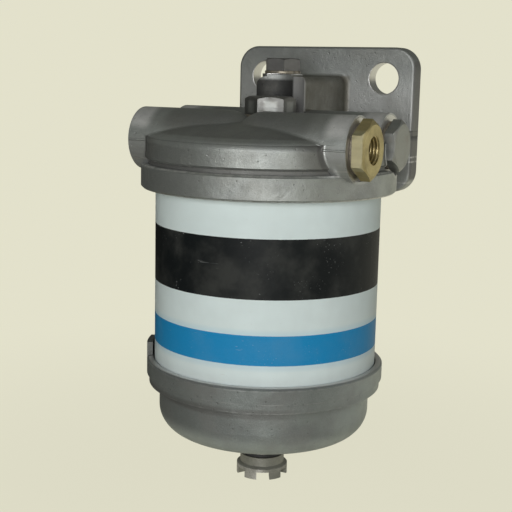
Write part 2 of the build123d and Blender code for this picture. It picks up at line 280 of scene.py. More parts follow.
def cast_skin_group():
    """As-cast surface: a fine sandy grain, a slow swell under it and a few small pits."""
    graph, entry, leave = new_group("cast_skin", {"Position": None, "Grain": 1.0, "Pits": 0.5},
                                    ("Height", "Tone", "Pit"))
    position = entry["Position"]
    fine = graph.noise(position, 2.6, 3.0, 0.6)
    swell = graph.noise(position, 0.32)
    pit = graph.times(graph.step(graph.cells(position, 0.42), 0.16, 0.04), entry["Pits"])
    height = graph.plus(graph.times(fine, entry["Grain"]), swell, 0.9)
    graph.feed(leave["Height"], graph.plus(height, pit, -1.2))
    patches = graph.noise(position, 0.07, 3.0, 0.6)
    tone = graph.plus(graph.times(patches, 0.65), fine, 0.35)
    graph.feed(leave["Tone"], graph.step(tone, 0.36, 0.64))
    graph.feed(leave["Pit"], pit)
    return graph.tree


def turned_rings_group():
    """Marks of a cutting tool: fine rings about a centre, uneven in depth."""
    graph, entry, leave = new_group("turned_rings", {"Distance": 0.0, "Pitch": 0.3}, ("Height", "Tone"))
    turns = graph.math("DIVIDE", entry["Distance"], entry["Pitch"])
    wave = graph.math("SINE", graph.times(turns, 2 * math.pi))
    uneven = graph.noise(graph.joined(turns, 0.0, 0.0), 0.7, 2.0, 0.6)
    graph.feed(leave["Height"], graph.plus(uneven, wave, 0.5))
    graph.feed(leave["Tone"], graph.step(uneven, 0.3, 0.7))
    return graph.tree


def handling_group():
    """Wear from handling: broad smudges and fine straight scratches."""
    graph, entry, leave = new_group("handling", {"Position": None, "Amount": 0.5}, ("Smudge", "Scratch"))
    position, amount = entry["Position"], entry["Amount"]
    smudge = graph.step(graph.noise(position, 0.055, 4.0, 0.62), 0.42, 0.72)
    lean = graph.node("ShaderNodeMapping", {"Vector": position, "Rotation": (0.3, 0.5, 0.7),
                                            "Scale": (0.05, 1.3, 1.3)}).outputs[0]
    thin = graph.step(graph.noise(lean, 1.6, 1.0, 0.4), 0.70, 0.76)
    sparse = graph.step(graph.noise(position, 0.09, 1.0), 0.50, 0.62)
    graph.feed(leave["Smudge"], graph.times(smudge, amount))
    graph.feed(leave["Scratch"], graph.times(thin, sparse, amount))
    return graph.tree


GROUPS = {}


def shared(name):
    """The node groups are built once, when the first material asks for one."""
    if not GROUPS:
        GROUPS["place"] = place_group()
        GROUPS["skin"] = cast_skin_group()
        GROUPS["rings"] = turned_rings_group()
        GROUPS["handling"] = handling_group()
    return GROUPS[name]


class Finish(Graph):
    """The graph of a new material, which knows the place of the surface on the filter."""

    def __init__(self, name, **constants):
        self.material = bpy.data.materials.new(name)
        self.material.use_nodes = True
        super().__init__(self.material.node_tree)
        self.shader = self.nodes["Principled BSDF"].inputs
        for socket, value in constants.items():
            self.shader[socket.replace("_", " ")].default_value = value
        coordinates = self.nodes.new("ShaderNodeTexCoord").outputs["Object"]
        self.position, self.radius, self.angle = self.group(shared("place"), Object=coordinates)

    def put(self, socket, value):
        self.feed(self.shader[socket], value)

    def skin(self, grain, pits):
        return self.group(shared("skin"), Position=self.position, Grain=grain, Pits=pits)

    def rings(self, distance, pitch):
        return self.group(shared("rings"), Distance=distance, Pitch=pitch)

    def handling(self, amount):
        """The masks of smudges and of scratches."""
        return self.group(shared("handling"), Position=self.position, Amount=amount)

    def patches(self, scale, detail=2.0, roughness=0.5):
        """Noise over the whole filter; scale is in features to a millimetre."""
        return self.noise(self.position, scale, detail, roughness)

    def blotches(self, scale, low, high):
        """A mask of uneven patches."""
        return self.step(self.patches(scale, 4.0, 0.65), low, high)

    def from_port(self, y):
        return self.away(self.position, (0.0, y, PORT_HEIGHT), ALONG_X)

    def from_bleed(self):
        return self.away(self.position, (*BLEED, 0.0), ALONG_Z)

    def cast_and_cut(self, cut, colour, machined, rough, relief, depth, tooling):
        """A casting's skin, and bright metal with the tool's fine marks where it is cut."""
        self.put("Base Color", self.mix(cut, colour, machined))
        self.put("Roughness", self.blend(cut, rough, CUT_ROUGHNESS))
        cast = self.bump(self.times(relief, self.without(cut)), depth)
        self.put("Normal", self.bump(self.times(tooling, cut), TOOL_MARK, Normal=cast))


def grey(value, warm=0.0):
    return (value * (1 + warm), value, value * (1 - warm), 1.0)


def tinted(colour, factor=1.0):
    return (colour[0] * factor, colour[1] * factor, colour[2] * factor, 1.0)


def finish(material, *names):
    """Puts a material in every slot of pieces of the frame."""
    for name in names:
        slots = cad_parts[name].data.materials
        if not slots:
            slots.append(material)
        for index in range(len(slots)):
            slots[index] = material


# Finishes

def head_material(colours):
    """Grey cast aluminium with cut faces at ports, seat and flange."""
    graph = Finish("cast_head", IOR=1.5, Specular_IOR_Level=0.5)
    x, y, z = graph.parts(graph.position)
    radius = graph.radius
    side = graph.math("ABSOLUTE", x)
    port = graph.math("MINIMUM", graph.from_port(FRONT_PORT), graph.from_port(REAR_PORT))
    bleed = graph.from_bleed()
    hole = graph.away(graph.joined(side, y, z), (HOLE_SPACING / 2, 0.0, HOLE_HEIGHT), ALONG_Y)
    skin = graph.skin(0.55, 0.5)
    smudge, scratch = graph.handling(0.6)

    # Machined faces
    port_face = graph.times(graph.step(port, PORT_SPOT + 0.3, PORT_SPOT - 0.1),
                            graph.at(side, PORT_FACE, 0.2, 0.1))
    port_bore = graph.times(graph.step(port, PORT_MOUTH + 0.25, PORT_MOUTH), graph.step(side, 30.0, 31.0))
    seat = graph.times(graph.step(radius, SEAT + 0.2, SEAT - 0.1), graph.at(z, SEAT_HEIGHT, 0.2, 0.1))
    bleed_face = graph.times(graph.step(bleed, BLEED_BOSS + 0.2, BLEED_BOSS - 0.1),
                             graph.step(z, BLEED_HEIGHT - 0.3, BLEED_HEIGHT - 0.1))
    back = graph.step(y, FLANGE_BACK - 0.3, FLANGE_BACK - 0.1)
    drilled = graph.times(graph.step(hole, HOLE + 0.4, HOLE + 0.15), graph.step(y, 40.0, 44.0))
    foot = graph.times(graph.step(z, 0.25, 0.1), graph.step(radius, SKIRT + 0.5, SKIRT - 0.5))
    cut = graph.either(port_face, port_bore, seat, bleed_face, back, drilled, foot)
    rings = graph.rings(graph.blend(port_face, radius, port), 0.42)
    sweep = graph.away(graph.position, (70.0, 0.0, 190.0), ALONG_Y)
    milled = graph.rings(sweep, 1.6)
    machined = graph.mix(graph.blend(back, rings["Tone"], milled["Tone"]), grey(0.58, 0.01), grey(0.70, 0.01))
    machined = graph.coat(machined, smudge, 0.5, grey(0.34, 0.04))

    # Rim, groove and band, and the recess that the bolt's head stands in
    # Painted shade: the groove between the rim and the band is darkened.
    groove = graph.times(graph.within(z, RIM_TOP, GROOVE_TOP, 0.25),
                         graph.step(radius, BAND - 0.6, BAND - 1.2))
    rim_edge = graph.either(graph.within(z, RIM_TOP - 0.45, RIM_TOP, 0.2), graph.within(z, 0.0, 0.45, 0.2),
                            graph.within(z, GROOVE_TOP, GROOVE_TOP + 0.4, 0.2))
    worn = graph.times(rim_edge, graph.step(radius, BAND - 0.8, BAND - 0.3),
                       graph.step(graph.patches(0.35, 3.0, 0.6), 0.35, 0.6))
    # Painted shade: the rim below the groove is made a little darker than the band.
    rim = graph.step(z, RIM_TOP + 0.4, RIM_TOP - 0.1)
    # Painted shade: the recess that the bolt's head stands in is darkened.
    recess = graph.times(graph.step(radius, SEAT + 0.6, SEAT + 0.2),
                         graph.step(z, SEAT_HEIGHT + 0.4, SEAT_HEIGHT + 1.2))
    # Painted highlight: a strip of the recess's wall right of the bolt is made lighter and less metallic.
    lit = graph.times(graph.step(radius, SEAT + 1.4, SEAT + 0.4), graph.within(x, 4.0, 10.4, 1.2),
                      graph.step(z, SEAT_HEIGHT + 0.7, SEAT_HEIGHT + 1.7))
    # Painted shade: the recess round and above the bolt's head, below the bleed boss's top, is nearly black.
    neck_shade = graph.times(recess, graph.step(z, BLEED_HEIGHT - 1.5, BLEED_HEIGHT - 2.9), graph.without(lit))

    # Web and flange
    # Painted shade: the web is made dark brown, unevenly.
    web = graph.times(graph.step(side, 13.0, 11.0), graph.within(y, 9.0, 50.0, 2.0),
                      graph.within(z, 28.0, WEB_TOP, 1.5), graph.without(recess),
                      graph.scale(graph.patches(0.18, 4.0, 0.65), 0.55, 1.15))
    plate = graph.step(y, FLANGE_FRONT - 1.5, FLANGE_FRONT - 0.5)
    # Painted shade and light: the flange's front is darker towards its top and lighter towards its bottom.
    high = graph.times(plate, graph.step(z, 40.0, 54.0))
    low = graph.times(plate, graph.step(z, 50.0, 34.0))
    # Painted shade: the flange's outer side edges are darkened.
    verge_shade = graph.times(graph.step(side, FLANGE_SIDE - 1.1, FLANGE_SIDE - 0.4),
                        graph.step(y, FLANGE_FRONT - 2.0, FLANGE_FRONT))

    # Dome and port bosses
    # Painted shade: the dome's top is darkened.
    dome = graph.times(graph.within(z, 21.4, 26.9, 0.6), graph.step(port, BOSS + 0.1, BOSS + 0.7),
                       graph.step(y, FLANGE_FRONT - 2.0, FLANGE_FRONT - 7.0))
    # Painted shade: the concave join between the band and each boss is darkened, most of all in the fillet.
    crook_shade = graph.times(graph.step(port, 23.0, 14.5), graph.step(port, BOSS + 0.05, BOSS + 0.2),
                        graph.step(radius, BAND - 1.0, BAND - 0.5),
                        graph.within(z, GROOVE_TOP + 0.2, BAND_TOP + 0.2, 0.4))
    fillet = graph.times(crook_shade, graph.step(port, 14.2, 13.4))
    # Painted shade on the inner tops of the bosses (inner).
    upper = graph.times(graph.step(z, 21.0, 24.5), graph.step(port, BOSS + 0.6, BOSS + 0.2))
    inner = graph.times(upper, graph.step(side, 33.0, 27.0))
    # Painted highlight, partly wear: uneven light patches on the boss tops near their ends, made less
    # metallic.
    outer = graph.times(upper, graph.within(side, 38.5, 42.5, 4.5),
                        graph.scale(graph.patches(0.11, 4.0, 0.62), 0.0, 1.7))
    # Painted light: the lower half of each boss towards its end is made lighter.
    ends = graph.times(graph.step(side, 25.0, 32.0), graph.step(port, BOSS + 0.2, BOSS + 0.05),
                       graph.step(z, 20.5, 15.5))

    colour = graph.coats(graph.shades(skin["Tone"], colours.head, 0.80, 1.12),
                         (graph.either(dome, inner), 0.48, grey(0.12, 0.03)),
                         (high, 0.30, grey(0.15, 0.03)),
                         (low, 0.35, grey(0.62, 0.01)),
                         (verge_shade, 0.7, grey(0.12, 0.03)),
                         (crook_shade, 0.6, grey(0.13, 0.03)),
                         (fillet, 0.6, grey(0.08, 0.03)),
                         (ends, 0.22, grey(0.80, 0.01)),
                         (outer, 0.62, grey(0.80, 0.01)),
                         (recess, 0.5, grey(0.13, 0.02)),
                         (neck_shade, 0.92, grey(0.028)),
                         (rim, 0.12, grey(0.20, 0.01)),
                         (web, 0.8, (0.115, 0.100, 0.070, 1.0)),
                         (lit, 0.6, grey(0.46, 0.01)),
                         (smudge, 0.55, (0.23, 0.225, 0.20, 1.0)),
                         (skin["Pit"], 0.7, grey(0.10, 0.04)),
                         (groove, 0.65, grey(0.13, 0.05)),
                         (worn, 0.6, grey(0.72, 0.01)))
    rough = graph.plus(graph.scale(skin["Tone"], 0.51, 0.41), smudge, 0.12)
    rough = graph.plus(rough, graph.either(groove, web, neck_shade, fillet, verge_shade), 0.15)
    rough = graph.plus(rough, rim, 0.05)
    metal = graph.plus(graph.scale(skin["Tone"], 0.74, 0.84), worn, 0.2)
    metal = graph.plus(metal, graph.either(lit, outer), -0.40)
    graph.put("Metallic", graph.plus(metal, cut, 0.3, clamp=True))

    # The parting line along each boss, and the band's upper edge turned over softly
    line = graph.times(graph.at(z, PORT_HEIGHT, 0.12, 0.35), graph.within(port, BOSS - 0.2, BOSS + 0.3, 0.2))
    roll = graph.math("MAXIMUM", graph.math("SUBTRACT", z, BAND_TOP - 2.3), 0.0)
    fall = graph.math("MAXIMUM", graph.math("SUBTRACT", radius, BAND - 2.9), 0.0)
    turn = graph.blend(graph.step(z, BAND_TOP - 0.1, BAND_TOP + 0.1), roll, fall)
    near = graph.times(graph.within(z, BAND_TOP - 2.5, BAND_TOP + 2.0, 0.3),
                       graph.step(port, BOSS + 0.3, BOSS + 0.9))
    soft = graph.times(turn, turn, near, -1.04)
    relief = graph.plus(graph.math("ADD", skin["Height"], soft), line, 1.4)
    relief = graph.plus(relief, scratch, -0.5)
    tooling = graph.blend(back, rings["Height"], milled["Height"])
    graph.cast_and_cut(cut, colour, machined, rough, relief, 0.16, tooling)
    return graph.material


def bowl_material(colours):
    """Cast aluminium of the bowl: the same grain, with a turned rim and a cut lower face."""
    graph = Finish("cast_bowl", IOR=1.5)
    z = graph.parts(graph.position)[2]
    radius, angle = graph.radius, graph.angle
    skin = graph.skin(0.6, 0.6)
    smudge, scratch = graph.handling(0.7)

    lug = graph.times(graph.at(angle, LUG_ANGLE, 0.15, 0.02), graph.within(z, -68.5, -60.0, 1.5))
    rim = graph.times(graph.within(z, BOWL_RIM - 0.25, BOWL_RIM + 0.2, 0.1),
                      graph.step(radius, CAN_RADIUS - 0.1, CAN_RADIUS + 0.2), graph.without(lug))
    boss_face = graph.times(graph.step(z, DRAIN_FACE + 0.2, DRAIN_FACE), graph.step(radius, 9.4, 9.1))
    cut = graph.either(rim, boss_face)
    rings = graph.rings(radius, 0.35)
    edge = graph.either(graph.within(z, BOWL_RIM - 1.2, BOWL_RIM - 0.7, 0.2),
                        graph.within(z, STEP_TOP - 0.4, STEP_TOP, 0.2), graph.at(z, STEP_BOTTOM, 0.2, 0.2))
    worn = graph.times(edge, graph.step(radius, 45.0, 45.6),
                       graph.step(graph.patches(0.35, 3.0, 0.6), 0.38, 0.62))
    # Painted shade, with some dirt: dark under the step, strongest from the front round to the left.
    corner = graph.times(graph.within(z, STEP_BOTTOM - 2.8, STEP_BOTTOM + 0.8, 1.4),
                         graph.scale(graph.step(angle, -1.05, -0.75), 1.0, 0.2))
    # Painted light: the bowl is made lighter, unevenly, on its right side and towards its bottom.
    right = graph.within(angle, -0.15, 0.80, 0.55)
    pale = graph.times(graph.either(graph.step(z, -86.0, -91.5), graph.times(right, 0.8)),
                       graph.scale(graph.patches(0.12, 4.0, 0.62), 0.55, 1.15))

    colour = graph.coats(graph.shades(skin["Tone"], colours.bowl, 0.80, 1.14),
                         (pale, 0.6, tinted(colours.bowl, 2.45)),
                         (smudge, 0.6, grey(0.20, 0.04)),
                         (skin["Pit"], 0.7, grey(0.09, 0.04)),
                         (corner, 0.50, grey(0.10, 0.05)),
                         (lug, 0.6, grey(0.07, 0.05)),
                         (worn, 0.25, grey(0.50, 0.01)))
    machined = graph.mix(rings["Tone"], grey(0.56, 0.01), grey(0.70, 0.01))
    rough = graph.plus(graph.scale(skin["Tone"], 0.61, 0.51), smudge, 0.12)
    metal = graph.plus(graph.scale(skin["Tone"], 0.48, 0.62), worn, 0.25)
    graph.put("Metallic", graph.plus(metal, cut, 0.35, clamp=True))
    relief = graph.plus(skin["Height"], scratch, -0.5)
    graph.cast_and_cut(cut, colour, machined, rough, relief, 0.18, rings["Height"])
    return graph.material


def plug_material(colours):
    """Dull die-cast drain plug with rubbed dogs; its spigot is dark between the crests of the thread."""
    graph = Finish("cast_plug", IOR=1.5)
    z = graph.parts(graph.position)[2]
    skin = graph.skin(0.5, 0.3)
    smudge, scratch = graph.handling(0.8)
    screwed = graph.times(graph.step(graph.radius, 5.6, 5.4), graph.step(z, -107.0, -106.8))
    crest = graph.step(graph.radius, 4.98, 5.16)
    rubbed = graph.times(graph.step(graph.radius, 9.7, 10.0), graph.step(skin["Tone"], 0.25, 0.8))
    colour = graph.coats(graph.shades(skin["Tone"], colours.plug, 0.78, 1.15),
                         (smudge, 0.6, grey(0.14, 0.10)),
                         (rubbed, 0.5, grey(0.60, 0.03)))
    spigot = graph.mix(crest, grey(0.13, 0.04), grey(0.55, 0.02))
    graph.put("Base Color", graph.mix(screwed, colour, spigot))
    graph.put("Roughness", graph.scale(skin["Tone"], 0.60, 0.46))
    graph.put("Metallic", graph.scale(skin["Tone"], 0.50, 0.68))
    graph.put("Normal", graph.bump(graph.plus(skin["Height"], scratch, -0.4), 0.12))
    return graph.material


def canister_material(colours, bands):
    """White enamelled tinplate with a black and a blue printed band, bare at the rolled ends."""
    graph = Finish("printed_tin", IOR=1.45, Specular_IOR_Level=0.18, Coat_Roughness=0.3)
    z = graph.parts(graph.position)[2]
    smudge, scratch = graph.handling(0.7)
    cloud = graph.patches(0.045, 3.0, 0.6)
    dots = graph.step(graph.patches(6.0, 2.0, 0.6), 0.35, 0.7)
    ragged = graph.plus(z, graph.patches(0.9), 0.12)
    black = graph.within(ragged, bands.black_bottom / MM, bands.black_top / MM, 0.08)
    blue = graph.within(ragged, bands.blue_bottom / MM, bands.blue_top / MM, 0.08)
    halo = graph.within(ragged, bands.blue_bottom / MM - 0.4, bands.blue_top / MM + 0.4, 2.4)

    white = graph.shades(graph.step(cloud, 0.35, 0.65), colours.enamel_white, 0.965, 1.02)
    white = graph.coat(white, halo, 0.35, (0.38, 0.62, 0.76, 1.0))
    colour = graph.mix(black, white, graph.shades(dots, colours.enamel_black, 0.85, 1.2))
    colour = graph.mix(blue, colour, graph.shades(dots, colours.enamel_blue, 0.94, 1.06))
    from_seam = graph.math("ABSOLUTE", graph.math("SUBTRACT", graph.angle, math.radians(100)))
    seam = graph.step(from_seam, 0.014, 0.010)
    # Painted shade: uneven darkening just below the head and just above the bowl.
    shade_at_ends = graph.times(graph.either(graph.step(z, -62.0, -66.5), graph.step(z, -2.2, -0.2)),
                         graph.scale(graph.patches(0.22, 3.0, 0.6), 0.25, 1.0))
    colour = graph.coats(colour,
                         (shade_at_ends, 0.35, (0.40, 0.42, 0.40, 1.0)),
                         (smudge, 0.10, (0.42, 0.42, 0.38, 1.0)),
                         (scratch, 0.35, (0.55, 0.57, 0.57, 1.0)),
                         (seam, 0.35, (0.30, 0.31, 0.31, 1.0)))
    end = graph.either(graph.step(graph.radius, CAN_RADIUS - 0.9, CAN_RADIUS - 1.3),
                       graph.step(z, CAN_TOP - 0.5, CAN_TOP - 0.2),
                       graph.step(z, CAN_BOTTOM + 0.5, CAN_BOTTOM + 0.2))
    tin = graph.mix(graph.step(cloud, 0.3, 0.7), grey(0.60, 0.01), grey(0.72, 0.01))
    graph.put("Base Color", graph.mix(end, colour, tin))
    graph.put("Metallic", graph.times(end, 0.95))
    rough = graph.plus(graph.scale(cloud, 0.44, 0.54), smudge, 0.12)
    graph.put("Roughness", graph.plus(rough, black, 0.06))
    graph.put("Coat Weight", graph.times(graph.without(end), 0.03))
    relief = graph.plus(graph.times(graph.either(black, blue), 0.10), graph.patches(1.1), 0.35)
    relief = graph.plus(graph.plus(relief, scratch, -0.25), seam, 0.9)
    graph.put("Normal", graph.bump(relief, 0.05))
    return graph.material


def bare_tin_material():
    """Uncoated tinplate of the end plates and the centre tube."""
    graph = Finish("bare_tin", IOR=1.5)
    smudge, scratch = graph.handling(0.6)
    spangle = graph.cells(graph.position, 0.35)
    colour = graph.mix(graph.step(spangle, 0.1, 0.9), grey(0.62, 0.01), grey(0.76, 0.01))
    graph.put("Base Color", graph.mix(smudge, colour, grey(0.42, 0.05)))
    graph.put("Roughness", graph.scale(spangle, 0.24, 0.40))
    graph.put("Metallic", graph.plus(1.0, smudge, -0.15))
    graph.put("Normal", graph.bump(graph.plus(graph.patches(0.5), scratch, -1.0), 0.03))
    return graph.material


def turned_relief(graph, rings, ring_share, grain, grain_share, scratch):
    """Rings, grain and scratches of a turned piece."""
    relief = graph.plus(graph.times(graph.patches(grain, 3.0, 0.6), grain_share), rings["Height"], ring_share)
    graph.put("Normal", graph.bump(graph.plus(relief, scratch, -0.5), 0.06))


def steel_material(colours):
    """Zinc-plated steel with turned tops, patches of grime, painted shade on the bolt's corners and edges,
    and a thin dull bloom.
    """
    graph = Finish("plated_steel", IOR=2.0)
    x, _, z = graph.parts(graph.position)
    bolt, bleed = graph.radius, graph.from_bleed()
    smudge, scratch = graph.handling(0.8)
    at_plug = graph.step(x, 30.0, 31.0)
    at_bleed = graph.times(graph.step(z, 30.5, 31.0), graph.without(at_plug))
    distance = graph.blend(at_plug, graph.blend(at_bleed, bolt, bleed), graph.from_port(REAR_PORT))
    rings = graph.rings(distance, 0.5)
    grime = graph.blotches(0.16, 0.45, 0.75)
    # Painted shade: the corners of the bolt's head and its upper and lower edges are darkened.
    rim = graph.either(graph.step(bolt, 8.6, 9.05), graph.within(z, 33.8, 36.0, 1.2),
                       graph.step(z, 29.2, 28.2))
    rim = graph.times(rim, graph.within(z, SEAT_HEIGHT + 1.2, SEAT_HEIGHT + 8.4, 0.1))
    colour = graph.coats(graph.shades(rings["Tone"], colours.steel, 0.88, 1.10),
                         (grime, 0.5, (0.28, 0.26, 0.21, 1.0)),
                         (rim, 0.66, grey(0.09, 0.04)))
    colour = graph.mix(graph.times(at_bleed, graph.step(bleed, 12.0, 11.0)), colour,
                       graph.mix(grime, grey(0.17, 0.01), grey(0.10, 0.05)))
    graph.put("Base Color", graph.coat(colour, smudge, 0.35, grey(0.42, 0.03)))
    graph.put("Metallic", graph.plus(0.96, grime, -0.3))
    graph.put("Roughness", graph.plus(graph.scale(rings["Tone"], 0.44, 0.54), grime, 0.14))
    turned_relief(graph, rings, 0.10, 1.8, 0.4, scratch)
    return graph.material


def brass_material(colours):
    """Turned brass that has gone dull, with painted shade down the bore and a painted highlight on its front
    flat.
    """
    graph = Finish("brass", IOR=2.0)
    x, y, _ = graph.parts(graph.position)
    scratch = graph.handling(0.8)["Scratch"]
    distance = graph.from_port(FRONT_PORT)
    rings = graph.rings(distance, 0.38)
    # Painted shade down the bore.
    bore = graph.times(graph.step(distance, 5.6, 5.3), graph.step(x, 50.25, 49.9))
    # Painted highlight: the front flat of the hexagon is made pale.
    flat = graph.times(graph.within(x, 45.8, 49.4, 0.5), graph.step(y, FRONT_PORT - 6.0, FRONT_PORT - 8.0))
    tarnish = graph.blotches(0.2, 0.40, 0.70)
    colour = graph.coats(graph.shades(rings["Tone"], colours.brass, 0.90, 1.10),
                         (tarnish, 0.45, (0.25, 0.20, 0.09, 1.0)),
                         (flat, 0.5, (0.66, 0.63, 0.44, 1.0)),
                         (bore, 0.45, (0.16, 0.12, 0.05, 1.0)))
    graph.put("Base Color", colour)
    graph.put("Metallic", graph.plus(0.98, tarnish, -0.2))
    graph.put("Roughness", graph.plus(graph.scale(rings["Tone"], 0.38, 0.48), tarnish, 0.15))
    turned_relief(graph, rings, 0.12, 2.0, 0.35, scratch)
    return graph.material


def copper_material(colours):
    """Soft copper sealing washers, gone dull, with brown patches."""
    graph = Finish("copper", IOR=2.0)
    scratch = graph.handling(0.8)["Scratch"]
    tarnish = graph.blotches(0.45, 0.38, 0.68)
    graph.put("Base Color", graph.shades(tarnish, colours.copper, 1.10, 0.55))
    graph.put("Metallic", graph.scale(tarnish, 0.84, 0.66))
    graph.put("Roughness", graph.scale(tarnish, 0.54, 0.68))
    graph.put("Normal", graph.bump(graph.plus(graph.patches(1.6, 3.0, 0.6), scratch, -0.6), 0.05))
    return graph.material


def rubber_material(colours):
    """Moulded black rubber with a fine matt grain and a little bloom."""
    graph = Finish("seal_rubber", IOR=1.5)
    bloom = graph.step(graph.patches(0.3, 4.0, 0.6), 0.45, 0.75)
    graph.put("Base Color", graph.shades(bloom, colours.rubber, 1.0, 1.9))
    graph.put("Roughness", graph.scale(bloom, 0.50, 0.72))
    graph.put("Normal", graph.bump(graph.patches(3.5, 3.0, 0.6), 0.05))
    return graph.material


def paper_material(colours):
    """Resin-treated paper rolled in a tight spiral round the centre tube."""
    graph = Finish("filter_paper", IOR=1.45)
    z = graph.parts(graph.position)[2]
    turn = graph.math("DIVIDE", graph.angle, 2 * math.pi)
    layer = graph.math("SUBTRACT", graph.math("DIVIDE", graph.radius, 1.1), turn)
    edge = graph.math("PINGPONG", layer, 0.5)
    crease = graph.math("PINGPONG", graph.times(z, 0.4), 0.5)
    fibre = graph.patches(2.2, 4.0, 0.7)
    tone = graph.step(graph.plus(edge, fibre, 0.5), 0.2, 0.8)
    graph.put("Base Color", graph.shades(tone, colours.paper, 0.72, 1.12))
    graph.put("Roughness", graph.scale(fibre, 0.75, 0.95))
    graph.put("Normal", graph.bump(graph.plus(graph.plus(edge, fibre, 0.3), crease, 0.5), 0.4))
    return graph.material


# Settings

def colour_setting(label, description, default):
    return bpy.props.FloatVectorProperty(name=label, description=description, subtype="COLOR", size=3,
                                         min=0, max=1, default=default)


def length_setting(label, description, millimetres, **limits):
    return bpy.props.FloatProperty(name=label, description=description, unit="LENGTH", precision=4,
                                   default=millimetres * MM, **limits)


class FilterColours(bpy.types.PropertyGroup):
    head: colour_setting("Head", "Cast head", (0.36, 0.38, 0.37))
    bowl: colour_setting("Bowl", "Cast bowl", (0.216, 0.236, 0.228))
    plug: colour_setting("Drain plug", "Die-cast drain plug", (0.29, 0.29, 0.255))
    steel: colour_setting("Steel", "Zinc-plated screws and plug", (0.31, 0.32, 0.31))
    brass: colour_setting("Brass", "Outlet adaptor", (0.48, 0.405, 0.20))
    copper: colour_setting("Copper", "Sealing washers", (0.285, 0.255, 0.205))
    rubber: colour_setting("Rubber", "Sealing rings", (0.018, 0.018, 0.019))
    paper: colour_setting("Paper", "Filter paper", (0.62, 0.48, 0.27))
    enamel_white: colour_setting("White enamel", "Ground of the canister", (0.70, 0.80, 0.805))
    enamel_black: colour_setting("Black print", "Upper band of the canister", (0.007, 0.009, 0.010))
    enamel_blue: colour_setting("Blue print", "Lower band of the canister", (0.014, 0.25, 0.53))


class CanisterBands(bpy.types.PropertyGroup):
    black_top: length_setting("Black top", "Upper edge of the black band", -13.4)
    black_bottom: length_setting("Black bottom", "Lower edge of the black band", -35.1)
    blue_top: length_setting("Blue top", "Upper edge of the blue band", -48.2)
    blue_bottom: length_setting("Blue bottom", "Lower edge of the blue band", -59.1)


class ScrewThreads(bpy.types.PropertyGroup):
    port_pitch: length_setting("Port pitch", "Rise of the port threads in one turn", 1.27, min=0.5 * MM)
    port_depth: length_setting("Port depth", "How far a turn stands in from the bore", 0.45, min=0.1 * MM)
    shank_pitch: length_setting("Shank pitch", "Rise on the bolt and the drain plug", 1.5, min=0.5 * MM)
    bleed_pitch: length_setting("Bleed pitch", "Rise on the bleed screw", 1.0, min=0.5 * MM)
    shank_depth: length_setting("Shank depth", "How far a turn stands out of a shank", 0.22, min=0.1 * MM)
    segments: bpy.props.IntProperty(name="Segments", description="Straight pieces in one turn", default=40,
                                    min=12, max=96)


class Studio(bpy.types.PropertyGroup):
    azimuth: bpy.props.FloatProperty(name="Azimuth", description="Camera's place to the right of the front",
                                     unit="ROTATION", default=math.radians(27.0))
    distance: length_setting("Distance", "Camera's distance from the filter's axis", 405.0)
    rise: length_setting("Rise", "Camera's height over the skirt's lower edge", 44.4)
    key_power: bpy.props.FloatProperty(name="Key light", description="Power of the large front light",
                                       unit="POWER", default=6.6, min=0)
    fill_power: bpy.props.FloatProperty(name="Fill light", description="Power of the light on the right",
                                        unit="POWER", default=1.1, min=0)
    backdrop: colour_setting("Backdrop", "Floor and background", (0.768, 0.752, 0.600))


# Pieces

def placed_object(name, data):
    """A new object in the scene."""
    piece = bpy.data.objects.new(name, data)
    bpy.context.scene.collection.objects.link(piece)
    return piece


def from_foot(x, y, z):
    """A point in millimetres from the filter's foot, as metres in the frame."""
    return FOOT + Vector((x, y, z)) * MM


def thread_tree():
    """Geometry nodes that wind a ridge of four sides in a right-handed helix and stand it in its place."""
    tree = bpy.data.node_groups.new("screw_thread", "GeometryNodeTree")
    sockets = {"Geometry": "Geometry", "Radius": "Float", "Length": "Float", "Pitch": "Float",
               "Depth": "Float", "Segments": "Int", "Start": "Vector", "Turn": "Vector",
               "Material": "Material"}
    for label, kind in sockets.items():
        tree.interface.new_socket(label, in_out="INPUT", socket_type="NodeSocket" + kind)
    tree.interface.new_socket("Geometry", in_out="OUTPUT", socket_type="NodeSocketGeometry")
    graph = Graph(tree)
    entry = tree.nodes.new("NodeGroupInput").outputs
    leave = tree.nodes.new("NodeGroupOutput").inputs
    rotations = graph.math("DIVIDE", entry["Length"], entry["Pitch"])
    helix = graph.node("GeometryNodeCurveSpiral",
                       {"Resolution": entry["Segments"], "Rotations": rotations,
                        "Start Radius": entry["Radius"], "End Radius": entry["Radius"],
                        "Height": entry["Length"], "Reverse": True}).outputs[0]
    upright = graph.node("GeometryNodeSetCurveNormal", {"Curve": helix}, mode="Z_UP").outputs[0]
    ridge = graph.node("GeometryNodeCurvePrimitiveCircle", {"Resolution": 4, "Radius": entry["Depth"]})
    wound = graph.node("GeometryNodeCurveToMesh", {"Curve": upright, "Profile Curve": ridge.outputs[0],
                                                   "Fill Caps": True}).outputs[0]
    placed = graph.node("GeometryNodeTransform", {"Geometry": wound, "Translation": entry["Start"],
                                                  "Rotation": entry["Turn"]}).outputs[0]
    real = graph.node("GeometryNodeRealizeInstances", {"Geometry": placed}).outputs[0]
    named = graph.node("GeometryNodeSetMaterial", {"Geometry": real, "Material": entry["Material"]})
    graph.feed(leave["Geometry"], named.outputs[0])
    return tree


